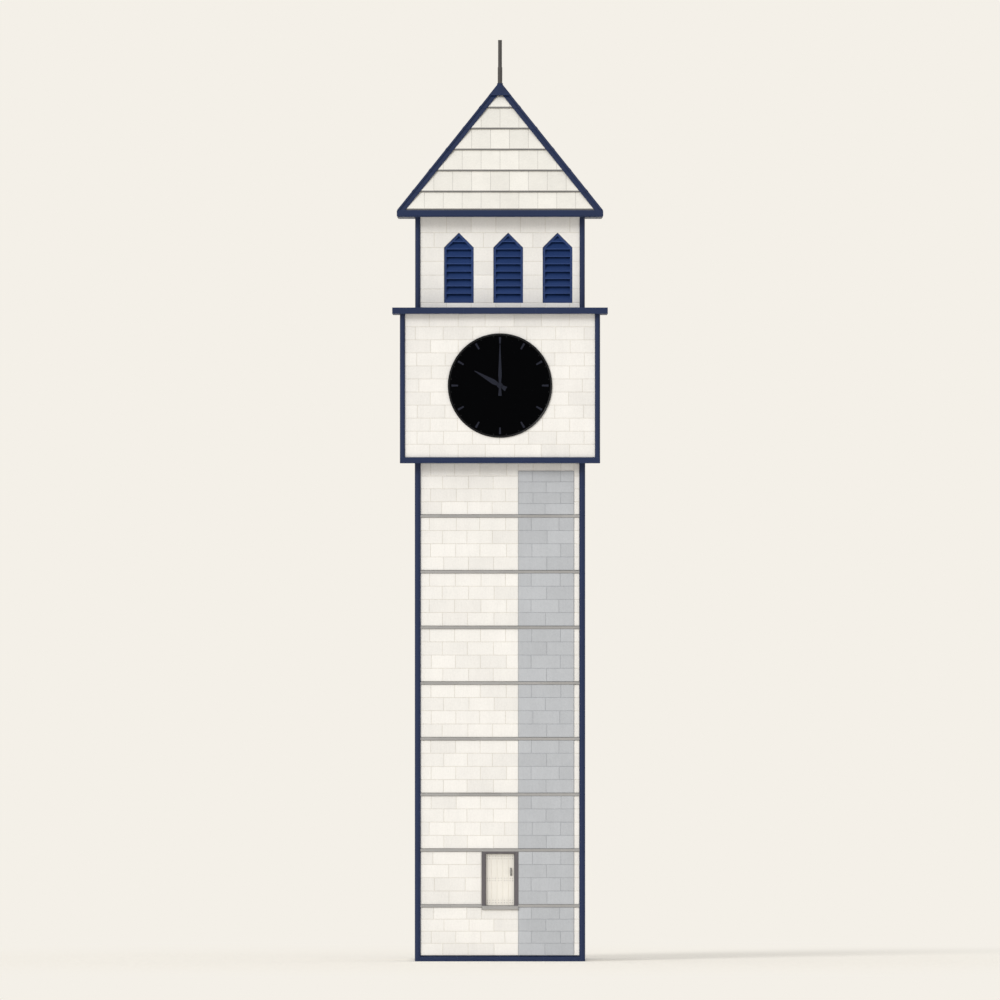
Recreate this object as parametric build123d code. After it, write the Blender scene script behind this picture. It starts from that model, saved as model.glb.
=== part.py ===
from build123d import *
from math import atan2, cos, degrees, sin
import os

# A square clock tower in four storeys: a tall shaft with a raised keeper's door, a wider clock
# stage with a dial on each side, a louvred belfry and a pyramid roof in lapped courses.
# Millimetres, +Z up, origin on the ground under the middle of the tower. The door faces -Y,
# and what the four sides share is made once for that side and turned about Z.

SIDES = ("front", "right", "back", "left")

# Shaft
shaft_width = 4000
shaft_wall = 500
bay_count = 9
bay_height = 1354.5
ground_slab_thickness = 200

# Clock stage
stage_slab_thickness = 140
stage_slab_overhang = 64
clock_width = 4740
clock_wall = 420
clock_storey = 3492

# Belfry
cornice_thickness = 150
cornice_overhang = 250
belfry_width = 4000
belfry_wall = 200
belfry_storey = 2216

# Roof
eaves_thickness = 152
eaves_overhang = 510
roof_setback = 60
roof_course_count = 6
roof_course_rise = 516.3
roof_thickness = 140
roof_lap = 32
roof_butt = 40
hip_wing_width = 110
hip_wing_thickness = 10
hip_roll_radius = 32
apex_cut = 200
apex_cap_margin = 12
apex_cap_top = 76
pole_height = 1099
pole_foot_height = 420
pole_foot_radius = 56
pole_tip_radius = 47
pole_shoulder = 30
pole_socket_depth = 150
collar_width = 16
collar_height = 45

# Trim that runs along the faces and up the corners
shaft_bead_radius = 73
stage_bead_radius = 64
base_course_height = 146
base_course_projection = 60
base_course_slope = 40
string_height = 70
string_projection = 30
string_slope = 12
slab_edge_chamfer = 18
strip_projection = 18
strip_edge_margin = 200
strip_top_margin = 190

# Doorway
doorway_width = 800
doorway_bay = 1
sill_thickness = 90
sill_projection = 62
sill_drop = 46
sill_slope = 14
lining_thickness = 45
lining_depth = 150
architrave_lap = 45
architrave_projection = 26
stop_width = 15
stop_depth = 20
entrance_floor_thickness = 150

# Door leaf, hung on two pintles at its left edge
leaf_setback = 60
leaf_thickness = 45
leaf_gap = 8
hinge_gap = 5
board_count = 5
groove_depth = 6
ledge_count = 3
ledge_height = 110
ledge_thickness = 22
ledge_margin = 40
hinge_inset = 330
hinge_length = 150
hinge_pin_radius = 7
hinge_pin_standoff = 12
hinge_bracket_half = 10
knuckle_radius = 10
knuckle_offset = 16
knuckle_play = 0.3
strap_thickness = 8
strap_length = 60
handle_inset = 80
handle_ledge_gap = 30
handle_length = 200
handle_width = 24
handle_foot = 34
handle_projection = 50
handle_thickness = 12
handle_rake = 30

# Dials, each a round plate on the wall, and the twelve marks on it
dial_radius = 1269
dial_thickness = 15
arbor_hole_half = 60
mark_edge_gap = 89
mark_length = 160
mark_outer_width = 52
mark_inner_width = 38
mark_thickness = 6

# Hands, each with an eight-sided boss on an arbor that runs back through the dial
running_clearance = 0.05
hand_gap = 6
blade_thickness = 8
spine_thickness = 4
spine_share = 0.3
hour_pipe_radius = 30
minute_arbor_radius = 18
pipe_tail = 40
arbor_tail = 80
hour_hand_length = 720
hour_blade_width = 120
hour_tail_length = 170
hour_boss_radius = 74
minute_mark_gap = 10
minute_blade_width = 84
minute_tail_length = 250
minute_boss_radius = 58
tip_width = 22
hand_nut_radius = 34
hand_nut_height = 20
shown_hour = 10

# Belfry openings, three to a side, each closed by a louvre panel
lancet_count = 3
lancet_width = 720
lancet_pitch = 1200
lancet_shift = 200
lancet_sill = 115
lancet_jamb = 1350
louvre_setback = 40
louvre_depth = 140
louvre_frame_width = 55
blade_pitch = 180
louvre_blade_thickness = 20

# Levels and half widths that follow from the sizes above
shaft_top = bay_count * bay_height - stage_slab_thickness / 2
clock_floor = shaft_top + stage_slab_thickness
clock_top = clock_floor + clock_storey
belfry_floor = clock_top + cornice_thickness
belfry_top = belfry_floor + belfry_storey
eaves_top = belfry_top + eaves_thickness
roof_base = belfry_top + eaves_thickness / 2
apex = roof_base + roof_course_count * roof_course_rise
apex_cut_level = apex - apex_cut

shaft_half = shaft_width / 2
clock_half = clock_width / 2
belfry_half = belfry_width / 2
eaves_half = belfry_half + eaves_overhang
roof_half = eaves_half - roof_setback
roof_pitch = atan2(apex - roof_base, roof_half)

course_levels = [bay * bay_height for bay in range(1, bay_count)]
sill_top = course_levels[doorway_bay - 1] - sill_drop + sill_thickness / 2
sill_bottom = sill_top - sill_thickness
doorway_head = course_levels[doorway_bay] - string_height / 2
doorway_half = doorway_width / 2
clear_half = doorway_half - lining_thickness
surround_half = doorway_half + architrave_lap
dial_level = (clock_floor + clock_top) / 2


def block(x_from, x_to, y_from, y_to, z_from, z_to):
    """A squared block between two corners."""
    size = (x_to - x_from, y_to - y_from, z_to - z_from)
    return Pos(x_from, y_from, z_from) * Box(*size, align=Align.MIN)


def turned(shape, side):
    """A front-side shape turned about the tower's middle to face the given side."""
    return Rot(0, 0, 90 * side) * shape


def on_all_sides(shape):
    return [turned(shape, side) for side in range(len(SIDES))]


def save(name, *shapes):
    """Write one node, which may hold several like solids."""
    solids = [solid for shape in shapes for solid in shape.solids()]
    export_step(Compound(solids), f"parts/{name}.step")


def wall(half, thickness, bottom, top):
    """A wall that starts behind its left neighbour and laps over its right one."""
    return block(thickness - half, half, -half, thickness - half, bottom, top)


def slab(half, bottom, thickness):
    """A floor or cap slab with chamfered outer edges top and bottom."""
    plate = block(-half, half, -half, half, bottom, bottom + thickness)
    rims = plate.edges().group_by(Axis.Z)
    return chamfer(rims[0] + rims[-1], slab_edge_chamfer)


def bar(profile, x_from, x_to):
    """A straight bar: a (y, z) outline carried along X."""
    outline = Plane.YZ.offset(x_from) * Polygon(*profile, align=None)
    return extrude(outline, x_to - x_from, dir=(1, 0, 0))


def rod(radius, length):
    """A round rod standing on the XY plane."""
    return Cylinder(radius, length, align=(Align.CENTER, Align.CENTER, Align.MIN))


def corner_rod(half, radius, bottom, top):
    return Pos(-half, -half, bottom) * rod(radius, top - bottom)


def corner_bead(half, radius, bottom, top):
    """Three quarters of a round rod, wrapped round a corner of the walls."""
    return corner_rod(half, radius, bottom, top) - block(-half, half, -half, half, bottom, top)


def face_band(bottom, height, projection, slope):
    """A band across the shaft's front face with a sloping top, coped to the corner beads."""
    face = -shaft_half
    outline = [
        (face, bottom),
        (face - projection, bottom),
        (face - projection, bottom + height - slope),
        (face, bottom + height),
    ]
    band = bar(outline, -shaft_half, shaft_half)
    bead = corner_rod(shaft_half, shaft_bead_radius, bottom, bottom + height)
    return band - bead - turned(bead, 1)


# ---------------------------------------------------------------- shaft

def make_shaft_walls():
    plain = wall(shaft_half, shaft_wall, 0, shaft_top)
    for side, name in enumerate(SIDES):
        if side:
            save(f"{name}_wall", turned(plain, side))
    save("front_wall_below_door", wall(shaft_half, shaft_wall, 0, sill_bottom))
    save("front_wall_above_door", wall(shaft_half, shaft_wall, doorway_head, shaft_top))
    beside = wall(shaft_half, shaft_wall, sill_bottom, doorway_head)
    gap = block(-doorway_half, doorway_half, -shaft_half, shaft_wall - shaft_half, sill_bottom, doorway_head)
    save("front_wall_beside_door", beside - gap)


def make_shaft_floors():
    room = shaft_half - shaft_wall
    save("ground_slab", block(-room, room, -room, room, 0, ground_slab_thickness))
    save("entrance_floor", block(-room, room, -room, room, sill_top - entrance_floor_thickness, sill_top))


def make_bands():
    base = face_band(0, base_course_height, base_course_projection, base_course_slope)
    save("base_course", *on_all_sides(base))
    courses = []
    for level in course_levels:
        band = face_band(level - string_height / 2, string_height, string_projection, string_slope)
        courses += on_all_sides(band)
    front_face = (-shaft_half - sill_projection, -shaft_half)
    surround = block(-surround_half, surround_half, *front_face, sill_bottom, doorway_head)
    save("string_courses", *[course - surround for course in courses])


def make_grey_strips():
    """The grey strip up each side, let in between one band and the next."""
    feet = [base_course_height] + [level + string_height / 2 for level in course_levels]
    heads = [level - string_height / 2 for level in course_levels] + [shaft_top - strip_top_margin]
    outer = -shaft_half - strip_projection
    right = shaft_half - strip_edge_margin
    strips = []
    for foot, head in zip(feet, heads):
        strips += on_all_sides(block(surround_half, right, outer, -shaft_half, foot, head))
    save("grey_strips", *strips)


def make_corner_beads():
    stages = [
        (shaft_half, shaft_bead_radius, 0, shaft_top),
        (clock_half, stage_bead_radius, clock_floor, clock_top),
        (belfry_half, stage_bead_radius, belfry_floor, belfry_top),
    ]
    beads = []
    for stage in stages:
        beads += on_all_sides(corner_bead(*stage))
    save("corner_beads", *beads)


# ---------------------------------------------------------------- doorway

def portal(inner_half, outer_half, head, inner_head, y_from, y_to):
    """Two jambs and a head standing on the sill."""
    outer = block(-outer_half, outer_half, y_from, y_to, sill_top, head)
    inner = block(-inner_half, inner_half, y_from, y_to, sill_top, inner_head)
    return outer - inner


def make_door_frame():
    face = -shaft_half
    clear_head = doorway_head - lining_thickness
    lining = portal(clear_half, doorway_half, doorway_head, clear_head, face, face + lining_depth)
    architrave = portal(
        clear_half, surround_half, doorway_head, clear_head,
        face - architrave_projection, face,
    )
    stop_back = face + leaf_setback - hinge_gap
    stop = portal(
        clear_half - stop_width, clear_half, clear_head, clear_head - stop_width,
        stop_back - stop_depth, stop_back,
    )
    save("door_frame", lining + architrave + stop)


def make_door_sill():
    face = -shaft_half
    nose = [
        (face, sill_bottom),
        (face - sill_projection, sill_bottom),
        (face - sill_projection, sill_top - sill_slope),
        (face - architrave_projection, sill_top),
        (face, sill_top),
    ]
    tread = block(-doorway_half, doorway_half, face, face + shaft_wall, sill_bottom, sill_top)
    save("door_sill", bar(nose, -surround_half, surround_half) + tread)


leaf_left = -clear_half + hinge_gap
leaf_right = clear_half - leaf_gap
leaf_bottom = sill_top + leaf_gap
leaf_top = doorway_head - lining_thickness - leaf_gap
leaf_front = -shaft_half + leaf_setback
leaf_back = leaf_front + leaf_thickness
pin_x = -clear_half + hinge_pin_standoff
pin_y = leaf_back + knuckle_offset
hinge_levels = [leaf_bottom + hinge_inset, leaf_top - hinge_inset]


def make_door_leaf():
    """Upright boards with V joints, held by ledges across the back."""
    leaf = block(leaf_left, leaf_right, leaf_front, leaf_back, leaf_bottom, leaf_top)
    board = (leaf_right - leaf_left) / board_count
    vee = Polygon((-groove_depth, 0), (groove_depth, 0), (0, groove_depth), align=None)
    for joint in range(1, board_count):
        at = Pos(leaf_left + joint * board, leaf_front, leaf_bottom)
        leaf -= at * extrude(vee, leaf_top - leaf_bottom)
    first = leaf_bottom + ledge_margin
    step = (leaf_top - leaf_bottom - 2 * ledge_margin - ledge_height) / (ledge_count - 1)
    for ledge in range(ledge_count):
        foot = first + ledge * step
        leaf += block(
            leaf_left + ledge_margin, leaf_right - ledge_margin,
            leaf_back, leaf_back + ledge_thickness, foot, foot + ledge_height,
        )
    save("door_leaf", leaf)


def upright(radius, bottom, top):
    """A round upright on the hinge line."""
    return Pos(pin_x, pin_y, bottom) * rod(radius, top - bottom)


def make_door_hinges():
    """Pintles on the frame; the leaf's knuckles, each on a strap, drop over their pins."""
    fixed, swinging = [], []
    half = hinge_bracket_half
    for level in hinge_levels:
        foot = level - hinge_length / 2
        head = level + hinge_length / 2
        bracket = block(-clear_half, pin_x + half, pin_y - half, pin_y + half, foot, level)
        fixed.append(bracket + upright(hinge_pin_radius, level, head))
        low = level + knuckle_play
        knuckle = upright(knuckle_radius, low, head)
        strap = block(pin_x, pin_x + strap_length, leaf_back, leaf_back + strap_thickness, low, head)
        swinging.append(knuckle + strap - upright(hinge_pin_radius + running_clearance, low, head))
    save("door_hinge_pins", *fixed)
    return swinging


def door_pull():
    """A bow handle of flat bar, its feet on the XZ plane and its grip out towards -Y."""
    half = handle_length / 2
    grip = handle_projection - handle_thickness
    upper = [
        (-handle_projection, half - handle_rake),
        (0, half),
        (0, half - handle_foot),
        (-grip, half - handle_rake - handle_foot / 2),
    ]
    lower = [(y, -z) for y, z in reversed(upper)]
    return bar(upper + lower, -handle_width / 2, handle_width / 2)


def make_door_furniture(hinge_straps):
    level = (leaf_bottom + leaf_top + ledge_height + handle_length) / 2 + handle_ledge_gap
    across = leaf_right - handle_inset
    outside = Pos(across, leaf_front, level) * door_pull()
    inside = Pos(across, leaf_back, level) * (Rot(0, 0, 180) * door_pull())
    save("door_furniture", *hinge_straps, outside, inside)


# ---------------------------------------------------------------- clock stage

# The dial's own frame: X to the right and Y up across the dial, Z outward from the wall face
dial_frame = Plane(origin=(0, -clock_half, dial_level), x_dir=(1, 0, 0), z_dir=(0, -1, 0))

mark_outer_radius = dial_radius - mark_edge_gap
mark_inner_radius = mark_outer_radius - mark_length
minute_hand_length = mark_inner_radius - minute_mark_gap

hour_back = dial_thickness + hand_gap
hour_front = hour_back + blade_thickness + spine_thickness
minute_back = hour_front + hand_gap
minute_front = minute_back + blade_thickness + spine_thickness
hour_bore_radius = minute_arbor_radius + running_clearance
bush_radius = hour_pipe_radius + running_clearance


def disc(radius, back, front):
    """A round piece on the dial's axis between two distances from the wall face."""
    return Pos(0, 0, back) * rod(radius, front - back)


def make_clock_walls():
    reach = arbor_hole_half
    hole = block(-reach, reach, -clock_half, clock_wall - clock_half, dial_level - reach, dial_level + reach)
    front = wall(clock_half, clock_wall, clock_floor, clock_top) - hole
    for side, name in enumerate(SIDES):
        save(f"{name}_clock_wall", turned(front, side))


def make_dials():
    """One round plate a side, bored for the hour pipe."""
    dial = dial_frame * (disc(dial_radius, 0, dial_thickness) - disc(bush_radius, 0, dial_thickness))
    for side, name in enumerate(SIDES):
        save(f"{name}_dial", turned(dial, side))


def make_hour_marks():
    baton = Polygon(
        (-mark_inner_width / 2, mark_inner_radius),
        (mark_inner_width / 2, mark_inner_radius),
        (mark_outer_width / 2, mark_outer_radius),
        (-mark_outer_width / 2, mark_outer_radius),
        align=None,
    )
    mark = Pos(0, 0, dial_thickness) * extrude(baton, mark_thickness)
    marks = []
    for hour in range(12):
        marks += on_all_sides(dial_frame * (Rot(0, 0, 30 * hour) * mark))
    save("hour_marks", *marks)


def hand_outline(length, width, tail, share):
    """A lozenge blade, widest a quarter of the way out, with a flared tail."""
    right = [
        (width / 2 * share, -tail),
        (width / 4 * share, 0),
        (width / 2 * share, length / 4),
        (tip_width / 2 * share, length - tip_width),
    ]
    left = [(-x, y) for x, y in reversed(right)]
    return Polygon(*right, (0, length), *left, align=None)


def hand(length, width, tail, boss_radius, back):
    """A flat blade with a raised spine and an eight-sided boss."""
    full_thickness = blade_thickness + spine_thickness
    blade = extrude(hand_outline(length, width, tail, 1), blade_thickness)
    spine = extrude(hand_outline(length - tip_width, width, tail - tip_width, spine_share), full_thickness)
    boss = extrude(RegularPolygon(boss_radius, 8), full_thickness)
    return Pos(0, 0, back) * (blade + spine + boss)


def make_hands():
    hour = hand(hour_hand_length, hour_blade_width, hour_tail_length, hour_boss_radius, hour_back)
    hour += disc(hour_pipe_radius, -clock_wall - pipe_tail, hour_back)
    hour -= disc(hour_bore_radius, -clock_wall - arbor_tail, hour_front)
    hour = Rot(0, 0, -30 * shown_hour) * hour
    minute = hand(minute_hand_length, minute_blade_width, minute_tail_length, minute_boss_radius, minute_back)
    minute += disc(minute_arbor_radius, -clock_wall - arbor_tail, minute_back)
    minute += Pos(0, 0, minute_front) * extrude(RegularPolygon(hand_nut_radius, 6), hand_nut_height)
    for side, name in enumerate(SIDES):
        save(f"{name}_hour_hand", turned(dial_frame * hour, side))
        save(f"{name}_minute_hand", turned(dial_frame * minute, side))


# ---------------------------------------------------------------- belfry

def lancet(inset):
    """The outline of a mitre-headed opening with its foot at the sill, drawn in by an inset."""
    half = lancet_width / 2 - inset
    shoulder = lancet_jamb - inset * (2 ** 0.5 - 1)
    return Polygon(
        (-half, inset),
        (half, inset),
        (half, shoulder),
        (0, shoulder + half),
        (-half, shoulder),
        align=None,
    )


def lancet_prism(inset, front, depth):
    """The opening's outline carried back into the wall from a distance behind its face."""
    sketch = Plane(origin=(0, front - belfry_half, 0), x_dir=(1, 0, 0), z_dir=(0, -1, 0)) * lancet(inset)
    return extrude(sketch, depth, dir=(0, 1, 0))


def lancet_places():
    """The feet of a side's openings, which stand a little to the right of its middle."""
    first = lancet_shift - lancet_pitch * (lancet_count - 1) / 2
    sill = belfry_floor + lancet_sill
    return [Pos(first + place * lancet_pitch, 0, sill) for place in range(lancet_count)]


def make_belfry_walls():
    front = wall(belfry_half, belfry_wall, belfry_floor, belfry_top)
    for place in lancet_places():
        front -= place * lancet_prism(0, 0, belfry_wall)
    for side, name in enumerate(SIDES):
        save(f"{name}_belfry_wall", turned(front, side))


def louvre_panel():
    """A mitred frame filled to its peak with blades that shed rain outward and overlap in height."""
    rim = lancet_prism(0, louvre_setback, louvre_depth)
    light = lancet_prism(louvre_frame_width, louvre_setback, louvre_depth)
    panel = rim - light
    outer = louvre_setback - belfry_half
    inner = outer + louvre_depth
    half = lancet_width / 2 - louvre_frame_width
    peak = lancet_jamb + lancet_width / 2 - louvre_frame_width * 2 ** 0.5
    foot = louvre_frame_width - louvre_blade_thickness / 2
    while foot + 2 * louvre_blade_thickness < peak:
        outline = [
            (outer, foot),
            (inner, foot + blade_pitch),
            (inner, foot + blade_pitch + louvre_blade_thickness),
            (outer, foot + louvre_blade_thickness),
        ]
        panel += bar(outline, -half, half) & light
        foot += blade_pitch
    return panel


def make_louvres():
    panel = louvre_panel()
    panels = []
    for place in lancet_places():
        panels += on_all_sides(place * panel)
    save("belfry_louvres", *panels)


# ---------------------------------------------------------------- roof

def roof_reach(level):
    """How far the roof's plane stands out from the axis at a level."""
    return (apex - level) / (apex - roof_base) * roof_half


def roof_quarter():
    """The front quarter of the tower in plan, which mitres a slope to its neighbours."""
    reach = 2 * eaves_half
    return extrude(Polygon((0, 0), (-reach, -reach), (reach, -reach), align=None), apex)


def roof_slope():
    """The front slope: lapped courses over a deck, mitred to its neighbours at the hips."""
    levels = [roof_base + course * roof_course_rise for course in range(1, roof_course_count)]
    feet = [eaves_top] + levels
    heads = levels + [apex_cut_level]
    deck = roof_thickness / sin(roof_pitch)
    outline = [(-roof_reach(eaves_top) + deck, eaves_top)]
    for foot, head in zip(feet, heads):
        edge = -roof_reach(foot) - roof_lap
        outline += [(edge, foot), (edge, foot + roof_butt), (-roof_reach(head), head)]
    outline += [(0, apex_cut_level), (0, apex - roof_thickness / cos(roof_pitch))]
    reach = roof_half + roof_lap
    return bar(outline, -reach, reach) & roof_quarter()


def roof_pyramid(foot_half, foot, head):
    """A piece of a pyramid as steep as the roof, between two levels."""
    base = Pos(0, 0, foot) * Rectangle(2 * foot_half, 2 * foot_half)
    return extrude(base, head - foot, taper=90 - degrees(roof_pitch))


# How far the courses' lower edges, and the hip cappings on them, stand out from the roof's plane
butt_stand = roof_lap + roof_butt * roof_half / (apex - roof_base)
wing_stand = butt_stand + hip_wing_thickness / sin(roof_pitch)


def make_hips():
    """A folded capping on each hip: two wings on the slopes and a round roll along the fold."""
    foot_reach = roof_reach(eaves_top)
    core = roof_pyramid(foot_reach + butt_stand, eaves_top, apex_cut_level)
    skin = roof_pyramid(foot_reach + wing_stand, eaves_top, apex_cut_level) - core
    half = roof_half + wing_stand
    run = Vector(half, half, (apex - roof_base) * half / roof_half)
    roll = Plane(origin=Vector(-half, -half, roof_base) - run, z_dir=run) * rod(hip_roll_radius, 3 * run.length)
    corner = block(-2 * half, 0, -2 * half, 0, eaves_top, apex_cut_level)
    along = Rot(0, 0, 45) * Box(4 * half, 2 * hip_wing_width, 3 * apex)
    save("hip_rolls", *on_all_sides((skin & corner & along) + ((roll & corner) - core)))


def make_roof():
    slopes = on_all_sides(roof_slope())
    for name, slope in zip(SIDES, slopes):
        save(f"{name}_roof_slope", slope)


def make_apex():
    """A pyramid cap over the ends of the hips, with a collar that grips the pole."""
    foot_half = roof_reach(apex_cut_level) + wing_stand + hip_roll_radius + apex_cap_margin
    cap_top = apex_cut_level + (foot_half - apex_cap_top) * (apex - roof_base) / roof_half
    pyramid = roof_pyramid(foot_half, apex_cut_level, cap_top)
    collar = Pos(0, 0, cap_top) * rod(pole_foot_radius + collar_width, collar_height)
    socket_foot = cap_top - pole_socket_depth
    socket = Pos(0, 0, socket_foot) * rod(pole_foot_radius, pole_socket_depth + collar_height)
    save("apex_cap", pyramid + collar - socket)
    section = Polygon(
        (0, socket_foot),
        (pole_foot_radius, socket_foot),
        (pole_foot_radius, cap_top + pole_foot_height),
        (pole_tip_radius, cap_top + pole_foot_height + pole_shoulder),
        (pole_tip_radius, cap_top + pole_height),
        (0, cap_top + pole_height),
        align=None,
    )
    save("pole", revolve(Plane.XZ * section, Axis.Z))


os.makedirs("parts", exist_ok=True)
make_shaft_walls()
make_shaft_floors()
make_bands()
make_grey_strips()
make_corner_beads()
make_door_frame()
make_door_sill()
make_door_leaf()
make_door_furniture(make_door_hinges())
save("stage_slab", slab(clock_half + stage_slab_overhang, shaft_top, stage_slab_thickness))
make_clock_walls()
make_dials()
make_hour_marks()
make_hands()
save("cornice", slab(clock_half + cornice_overhang, clock_top, cornice_thickness))
make_belfry_walls()
make_louvres()
save("eaves", slab(eaves_half, belfry_top, eaves_thickness))
make_roof()
make_hips()
make_apex()
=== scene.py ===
"""Dresses the clock tower's frame: stone blocks, slates, fixings, finishes and a plain stage."""

import random
from itertools import product
from math import ceil, cos, hypot, pi, radians, sin, tau

import bpy
from bpy.props import FloatProperty, FloatVectorProperty, IntProperty, PointerProperty
from mathutils import Matrix, Vector


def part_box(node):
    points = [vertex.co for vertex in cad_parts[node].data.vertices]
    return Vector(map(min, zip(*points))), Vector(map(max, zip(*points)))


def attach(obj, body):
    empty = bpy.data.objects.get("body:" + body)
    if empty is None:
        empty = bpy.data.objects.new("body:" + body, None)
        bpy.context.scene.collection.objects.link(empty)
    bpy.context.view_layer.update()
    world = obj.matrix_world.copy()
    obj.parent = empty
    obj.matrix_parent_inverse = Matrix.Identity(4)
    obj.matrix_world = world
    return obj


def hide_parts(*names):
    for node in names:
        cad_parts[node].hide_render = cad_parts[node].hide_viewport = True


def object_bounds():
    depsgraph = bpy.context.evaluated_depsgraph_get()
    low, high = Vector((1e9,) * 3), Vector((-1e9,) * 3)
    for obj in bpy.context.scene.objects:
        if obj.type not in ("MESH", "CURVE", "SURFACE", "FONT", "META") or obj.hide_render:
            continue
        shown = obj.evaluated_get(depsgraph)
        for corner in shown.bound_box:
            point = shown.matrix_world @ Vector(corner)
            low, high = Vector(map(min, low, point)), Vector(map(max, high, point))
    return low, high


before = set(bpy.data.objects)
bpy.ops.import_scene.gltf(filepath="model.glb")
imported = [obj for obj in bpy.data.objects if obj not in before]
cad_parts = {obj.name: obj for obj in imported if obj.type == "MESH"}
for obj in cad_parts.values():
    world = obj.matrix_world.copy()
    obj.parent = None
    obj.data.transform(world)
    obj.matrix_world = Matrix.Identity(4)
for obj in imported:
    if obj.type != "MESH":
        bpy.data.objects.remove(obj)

bl_info = {
    "name": "Clock Tower",
    "version": (1, 0, 0),
    "blender": (4, 5, 0),
    "location": "3D View > Sidebar > Clock Tower",
    "description": "Dresses the clock tower's frame in stone, slate, timber and paint",
    "category": "Object",
}

SIDES = ("front", "right", "back", "left")
cad_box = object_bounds()

# Points nearer than this, in metres, are at the same place
CLOSE = 0.0005
# A hole that reaches less than this into a course, in metres, leaves it whole
LEAST_REACH = 0.02
# Areas in square metres: less is no overlap, a sliver, too small a stone or too small a slate
NO_OVERLAP = 1e-6
SLIVER = 1e-4
LEAST_STONE = 0.0005
LEAST_SLATE = 0.002
# The tone of a face that isn't a stone of its own
MIDDLE_TONE = 0.5

# Places read from the frame, in metres
shaft_half = -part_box("left_wall")[0].x
clock_half = -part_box("left_clock_wall")[0].x
belfry_half = -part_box("left_belfry_wall")[0].x
shaft_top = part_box("left_wall")[1].z
clock_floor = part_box("left_clock_wall")[0].z
clock_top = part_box("left_clock_wall")[1].z
belfry_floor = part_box("left_belfry_wall")[0].z
belfry_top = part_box("left_belfry_wall")[1].z
eaves_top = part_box("eaves")[1].z
base_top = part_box("base_course")[1].z
dial_level = (clock_floor + clock_top) / 2
doorway_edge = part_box("door_frame")[1].x
doorway_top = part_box("front_wall_beside_door")[1].z


# ---------------------------------------------------------------- sizes and colours

def size(name, description, default):
    return FloatProperty(name=name, description=description, default=default, unit="LENGTH", min=0)


def number(name, description, default, least=1):
    return IntProperty(name=name, description=description, default=default, min=least)


def direction(name, description, default):
    return FloatProperty(name=name, description=description, default=radians(default), subtype="ANGLE")


def share(name, description, default):
    return FloatProperty(name=name, description=description, default=default, subtype="FACTOR", min=0, max=1)


def amount(name, description, default, least=0):
    return FloatProperty(name=name, description=description, default=default, min=least)


def colour(name, description, default):
    return FloatVectorProperty(
        name=name, description=description, default=default, subtype="COLOR", min=0, max=1
    )


class MasonrySizes(bpy.types.PropertyGroup):
    block_length: size("Block length", "Length of a whole stone along its course", 0.67)
    joint_width: size("Joint width", "Width of the mortar joints", 0.009)
    joint_depth: size("Joint depth", "Depth of the joints behind the stones' faces", 0.009)
    arris: size("Arris", "Width of the worn edge round each stone", 0.006)
    arris_fall: size("Arris fall", "Depth of the worn edge round each stone", 0.0042)
    bed: size("Bed", "How deep the stones sit in the mortar", 0.002)
    unevenness: size("Unevenness", "How far back a stone's face may lie", 0.0015)
    joint_wander: share("Joint wander", "How far upright joints wander, as a share of a stone", 0.04)
    least_length: size("Least length", "Length of the shortest stone at the end of a course", 0.15)
    tone_spread: share("Tone spread", "How far the stones' tones lie from the middle one", 0.26)
    bay_count: number("Bays", "Bays of the shaft from ground to stage", 9, 3)
    courses_per_bay: number("Courses in a bay", "Courses of stone between two bands", 4)
    stage_courses: number("Stage courses", "Courses of stone on the clock stage", 11)
    strip_margin: size("Strip margin", "Width of wall right of the grey strip", 0.2)


class MouldingSizes(bpy.types.PropertyGroup):
    band_height: size("Band height", "Height of a string course on the wall", 0.07)
    band_slope: size("Band slope", "Fall of a string course's top", 0.012)
    band_length: size("Band length", "Length of a stone in a string course", 1.0)
    band_bite: share("Band bite", "How far the bands run into the beads, as a share of their radius", 0.3)
    base_slope: size("Base slope", "Fall of the base course's top", 0.04)
    tone_spread: share("Tone spread", "How far the stones' tones lie from the middle one", 0.3)
    slab_length: size("Slab length", "Length of a stone in the base course, the stage or the cornice", 0.95)
    slab_seat: size("Slab seat", "How far the slabs' edge stones reach in under the walls", 0.03)
    slab_core: size("Slab core", "How far a slab's core lies behind its edge stones' faces", 0.006)
    shaft_bead: size("Shaft bead", "Radius of the beads up the shaft's corners", 0.073)
    stage_bead: size("Stage bead", "Radius of the beads above the shaft", 0.064)
    bead_length: size("Bead length", "Length of a bead's stones above the shaft", 0.7)
    groove: size("Groove", "Depth of the joints round the beads", 0.004)


class BelfrySizes(bpy.types.PropertyGroup):
    opening_count: number("Openings", "Openings on each side", 3)
    opening_width: size("Opening width", "Clear width of an opening in the stone", 0.72)
    opening_pitch: size("Opening pitch", "Distance between the middles of two openings", 1.2)
    opening_shift: size("Opening shift", "How far the openings stand right of the middle", 0.2)
    sill_height: size("Sill height", "Height of the openings' foot above the belfry's floor", 0.115)
    jamb_height: size("Jamb height", "Height of an opening's upright sides", 1.35)
    jamb_courses: number("Jamb courses", "Courses beside an opening", 4)
    soffit_boards: number("Soffit boards", "Boards under each of the eaves", 3)
    soffit_thickness: size("Soffit thickness", "Thickness of the boards under the eaves", 0.012)
    soffit_margin: size("Soffit margin", "How far the boards stay back from the eaves' edge", 0.02)
    soffit_gap: size("Soffit gap", "Gap between the boards under the eaves", 0.006)


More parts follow.
